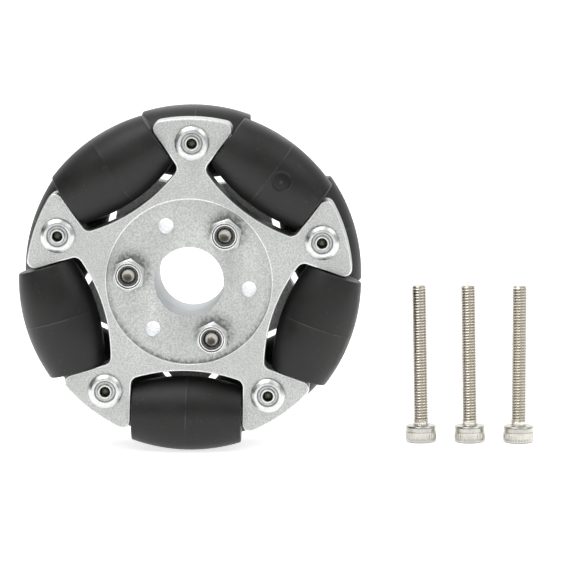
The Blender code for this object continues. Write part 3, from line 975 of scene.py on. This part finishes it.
def screw_head(solid):
    """Bearing face, plain shoulder, knurled side and rounded rim, and the socket in the end face."""
    shoulder = HEAD_RADIUS - SHOULDER_STEP
    bearing = fillet(
        [(NECK_RADIUS, HEAD_HEIGHT + 0.12), (NECK_RADIUS + 0.12, HEAD_HEIGHT), (shoulder - 0.16, HEAD_HEIGHT),
         (shoulder, HEAD_HEIGHT - 0.32), (shoulder, KNURL_HIGH + 0.1), (HEAD_RADIUS, KNURL_HIGH),
         (HEAD_RADIUS, KNURL_LOW)],
        [0.1, 0.14, 0.4, 0.04, 0.04], 5)
    knurl_row = (KNURL_LOW - KNURL_HIGH) / KNURL_ROWS
    knurl = [(HEAD_RADIUS, KNURL_HIGH + knurl_row * i) for i in range(1, KNURL_ROWS + 1)]
    rim = fillet([(HEAD_RADIUS, KNURL_LOW), (HEAD_RADIUS, 0.0), (1.6, 0.0)], [HEAD_RIM], 5)
    teeth = KNURL_TEETH * KNURL_STEPS
    rings = []
    for radius, height in bearing[:-1] + knurl + rim[1:]:
        deep = KNURL_DEPTH if KNURL_LOW < height < KNURL_HIGH - 0.05 else 0.0
        rings.append([
            (*polar(radius - deep * abs(i % KNURL_STEPS / KNURL_STEPS - 0.5) * 2.0, TAU * i / teeth), height)
            for i in range(teeth)
        ])
    skin(solid, rings)
    socket = [hexagon(SOCKET_WIDTH + 2.0 * SOCKET_LEAD, 0.0), hexagon(SOCKET_WIDTH, SOCKET_LEAD),
              hexagon(SOCKET_WIDTH, SOCKET_DEPTH), hexagon(0.8, SOCKET_DEPTH + 0.25)]
    mouth, bottom = skin(solid, socket)
    for face in solid.faces[-len(socket[0]) * (len(socket) - 1):]:
        face.smooth = False
    cap(solid, [[solid.verts.new(point) for point in rings[-1]], mouth])
    cap(solid, [bottom])


def cap_screw_mesh(length, tip_finish=0):
    """A socket head screw that stands on its head, with a knurled head and a cut thread."""
    solid = bmesh.new()
    threaded_shank(solid, length, tip_finish)
    screw_head(solid)
    return finish_mesh("cap_screw", solid, sharp=32.0)


def nut_blank():
    """The nut before its flats are cut: body, bevelled shoulder, collar and rolled lip."""
    corner, flat = NUT_WIDTH / math.sqrt(3.0), NUT_WIDTH / 2.0
    turned_to = corner + NUT_BLANK_OVER
    bevel_from = flat - 0.1
    rise = math.tan(NUT_BEVEL) * (turned_to - bevel_from)
    groove_inner, groove_outer = ROLL_GROOVE
    shoulder_end = (COLLAR_RADIUS, NUT_HEX + 0.01)
    body = fillet(
        [(NUT_BORE, NUT_HEX), (NUT_BORE, 0.2), (NUT_BORE + 0.25, 0.0), (bevel_from, 0.0), (turned_to, rise),
         (turned_to, NUT_HEX - rise)],
        [SHARP, SHARP, 0.1, SHARP], 6)
    collar = fillet(
        [shoulder_end, (COLLAR_RADIUS - 0.02, NUT_HEIGHT), (groove_outer, NUT_HEIGHT),
         (groove_outer, NUT_HEIGHT - 0.02)],
        [0.07, 0.02], 6)
    lip = fillet(
        [(groove_inner, LIP_TOP - 0.02), (groove_inner, LIP_TOP), (LIP_RADIUS, LIP_TOP),
         (LIP_RADIUS + 0.02, NUT_HEIGHT - 0.35), (POCKET_RADIUS, NUT_HEIGHT - 0.4), (POCKET_RADIUS, NUT_HEX),
         (NUT_BORE, NUT_HEX)],
        [0.02, 0.06, SHARP, SHARP, SHARP], 6)
    groove_floor = NUT_HEIGHT - ROLL_DEPTH
    groove = [collar[-1], (groove_outer - 0.02, groove_floor), (groove_inner + 0.02, groove_floor), lip[0]]
    solid = bmesh.new()
    lathe(solid, body, NUT_STEPS, NUT_FLATS)
    lathe(solid, [body[-1], (bevel_from, NUT_HEX), shoulder_end], NUT_STEPS, NUT_SHOULDER)
    lathe(solid, collar, NUT_STEPS, NUT_PLATED)
    lathe(solid, groove, NUT_STEPS, NUT_SEAM)
    lathe(solid, lip, NUT_STEPS, NUT_PLATED)
    return finish_mesh("nut_blank", solid, sharp=40.0)


def nut_mesh(surfaces):
    """A nylon lock nut: a hexagon with bevelled corners and a collar rolled over the insert."""
    corner = NUT_WIDTH / math.sqrt(3.0)
    prism = bmesh.new()
    bmesh.ops.create_cone(prism, cap_ends=True, segments=6, radius1=corner, radius2=corner,
                          depth=4.0 * NUT_HEIGHT)
    turned, flats = nut_blank(), finish_mesh("nut_flats", prism)
    for surface in surfaces:
        turned.materials.append(surface)
    flats.materials.append(surfaces[NUT_FLATS])
    mesh = cut(turned, flats, "INTERSECT")
    mesh.shade_smooth()
    mesh.set_sharp_from_angle(angle=math.radians(22.0))
    return mesh


def insert_mesh():
    """The nylon ring that sits in a lock nut's pocket and grips the thread."""
    outer, bottom = POCKET_RADIUS - INSERT_GAP, NUT_HEX + 0.05
    profile = fillet(
        [(NYLON_BORE, 3.2), (NYLON_BORE, INSERT_TOP), (outer, INSERT_TOP - 0.06), (outer, bottom),
         (NYLON_BORE, bottom), (NYLON_BORE, 3.2)],
        [0.16, 0.05, SHARP, SHARP], 6)
    solid = bmesh.new()
    lathe(solid, profile, INSERT_STEPS)
    return finish_mesh("insert", solid, sharp=50.0)


def hub_fasteners(steel, zinc, nylon):
    bolt, nut, insert = cap_screw_mesh(HUB_BOLT_LENGTH, 1), nut_mesh(zinc), insert_mesh()
    rear_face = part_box("rear_outer_star")[1][1] - RECESS_DEPTH * MM
    front_face = -rear_face
    for index in (1, 2, 3):
        spot = radial(middle(f"hub_bolt_{index}"))
        turn = Vector((*polar(1.0, NUT_TURNS[index - 1]), 0.0)).xzy
        head_end = spot + AXIS * (rear_face + HEAD_HEIGHT * MM)
        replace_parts(piece(f"hub_bolt_{index}_m3", bolt, placed(head_end, -AXIS, turn), "wheel", steel,
                          20.0 + index), f"hub_bolt_{index}")
        seat = placed(spot + AXIS * front_face, -AXIS, turn)
        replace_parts(piece(f"lock_nut_{index}_m3", nut, seat, "wheel", zinc, 30.0 + index),
                    f"lock_nut_{index}")
        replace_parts(piece(f"nylon_insert_{index}_ring", insert, seat, "wheel", [nylon],
                          40.0 + index), f"nylon_insert_{index}")


def mounting_screws(steel):
    """The three loose screws, each on its head and leaning a little on its rounded rim."""
    mesh = cap_screw_mesh(SCREW_LENGTH)
    for index in (1, 2, 3):
        node = f"mounting_screw_{index}"
        foot = middle(node)
        lean = math.radians(SCREW_LEANS[index - 1])
        foot.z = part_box(node)[0][2] + (HEAD_RADIUS - HEAD_RIM) * math.sin(lean) * MM
        up = Vector((-math.sin(lean), 0.0, math.cos(lean)))
        turn = Vector((*polar(1.0, 2.0 * index), 0.0))
        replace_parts(piece(f"{node}_m3", mesh, placed(foot, up, turn), node, [steel],
                          50.0 + index), node)


# The studio


def surround():
    """A pale tent: bright overhead and behind, dimmer on the side from which the wheel is looked at."""
    world = bpy.data.worlds.new("studio")
    bpy.context.scene.world = world
    world.use_nodes = True
    tent = Nodes(world.node_tree)
    x, y, z = tent.parts(tent.node("ShaderNodeTexCoord").outputs["Generated"])
    glow = tent.most(tent.span(z, *SKY_RISE), tent.span(y, *SKY_BACK))
    glow = tent.times(glow, tent.span(tent.times(x, -1.0), *FLAG_LEFT))
    seen = tent.node("ShaderNodeLightPath")
    choose = tent.node("ShaderNodeMix")
    tent.link(seen.outputs["Is Camera Ray"], choose.inputs["Factor"])
    tent.link(glow, choose.inputs["A"])
    choose.inputs["B"].default_value = 1.0
    background = tent.tree.nodes["Background"]
    tent.link(choose.outputs["Result"], background.inputs["Strength"])
    background.inputs["Color"].default_value = (1.0, 1.0, 1.0, 1.0)


def white_paper():
    """Matt paper with a faint glow of its own, which keeps the floor as pale as the tent."""
    paper = bpy.data.materials.new("white paper")
    paper.use_nodes = True
    made = Nodes(paper.node_tree)
    shader = made.tree.nodes["Principled BSDF"]
    shader.inputs["Base Color"].default_value = (0.88, 0.88, 0.88, 1.0)
    shader.inputs["Roughness"].default_value = 0.9
    shader.inputs["Emission Color"].default_value = (1.0, 1.0, 1.0, 1.0)
    reach = made.node("ShaderNodeVectorMath", operation="LENGTH")
    made.link(made.node("ShaderNodeTexCoord").outputs["Object"], reach.inputs[0])
    glow = made.node("ShaderNodeValToRGB")
    stops = glow.color_ramp.elements
    while len(stops) < len(FLOOR_GLOW):
        stops.new(0.5)
    for stop, (distance, strength) in zip(stops, FLOOR_GLOW):
        stop.position = distance
        stop.color = (strength, strength, strength, 1.0)
    made.link(reach.outputs["Value"], glow.inputs["Fac"])
    made.link(glow.outputs["Color"], shader.inputs["Emission Strength"])
    return paper


def studio():
    solid = bmesh.new()
    bmesh.ops.create_grid(solid, x_segments=1, y_segments=1, size=FLOOR_HALF)
    sheet = bpy.data.meshes.new("studio_floor")
    solid.to_mesh(sheet)
    solid.free()
    sheet.materials.append(white_paper())
    floor = bpy.data.objects.new("studio_floor", sheet)
    floor.location = (0.0, 0.0, CAD_BOX[0][2])
    bpy.context.scene.collection.objects.link(floor)
    surround()
    for name, spot, size, power in SOFTBOXES:
        lamp = bpy.data.lights.new(name, "AREA")
        lamp.size = size
        lamp.energy = power
        held = bpy.data.objects.new(name, lamp)
        held.location = spot
        held.rotation_euler = (-Vector(spot)).to_track_quat("-Z", "Y").to_euler()
        bpy.context.scene.collection.objects.link(held)


def camera():
    """The photo's view: from a little above, with the wheel on the left and the screws on the right."""
    lens = bpy.data.cameras.new("camera")
    lens.sensor_width = 36.0
    lens.lens = LENS
    lens.clip_start, lens.clip_end = 0.01, 20.0
    held = bpy.data.objects.new("camera", lens)
    around, above = math.radians(CAMERA_AZIMUTH), math.radians(CAMERA_ELEVATION)
    back = Vector((math.sin(around) * math.cos(above), -math.cos(around) * math.cos(above), math.sin(above)))
    right = UP.cross(back).normalized()
    aim = Vector((0.0, middle("front_roller_1")[1], 0.0))
    aim += (right * CAMERA_AIM[0] + back.cross(right) * CAMERA_AIM[1]) * MM
    held.location = aim + back * CAMERA_DISTANCE
    held.rotation_euler = (-back).to_track_quat("-Z", "Y").to_euler()
    bpy.context.scene.collection.objects.link(held)
    bpy.context.scene.camera = held


def build():
    bpy.context.scene.view_settings.view_transform = "Standard"
    hub_surfaces = [cast_aluminium(), drilled_aluminium(), burnished_edge(), turned_aluminium()]
    steel, shaded_satin, hollow_shade = screw_steel(), shaded_satin_metal(), hollow_shade_metal()
    stars(hub_surfaces, cast_aluminium(shaded=True))
    spacer(hub_surfaces)
    rollers(roller_plastic(), axle_steel())
    rivets([rivet_aluminium(), hollow_shade, shaded_satin])
    hub_fasteners([steel, bolt_steel()], [shaded_satin, nut_zinc(), hollow_shade, top_lit_zinc()], insert_nylon())
    mounting_screws(steel)
    studio()
    camera()


build()
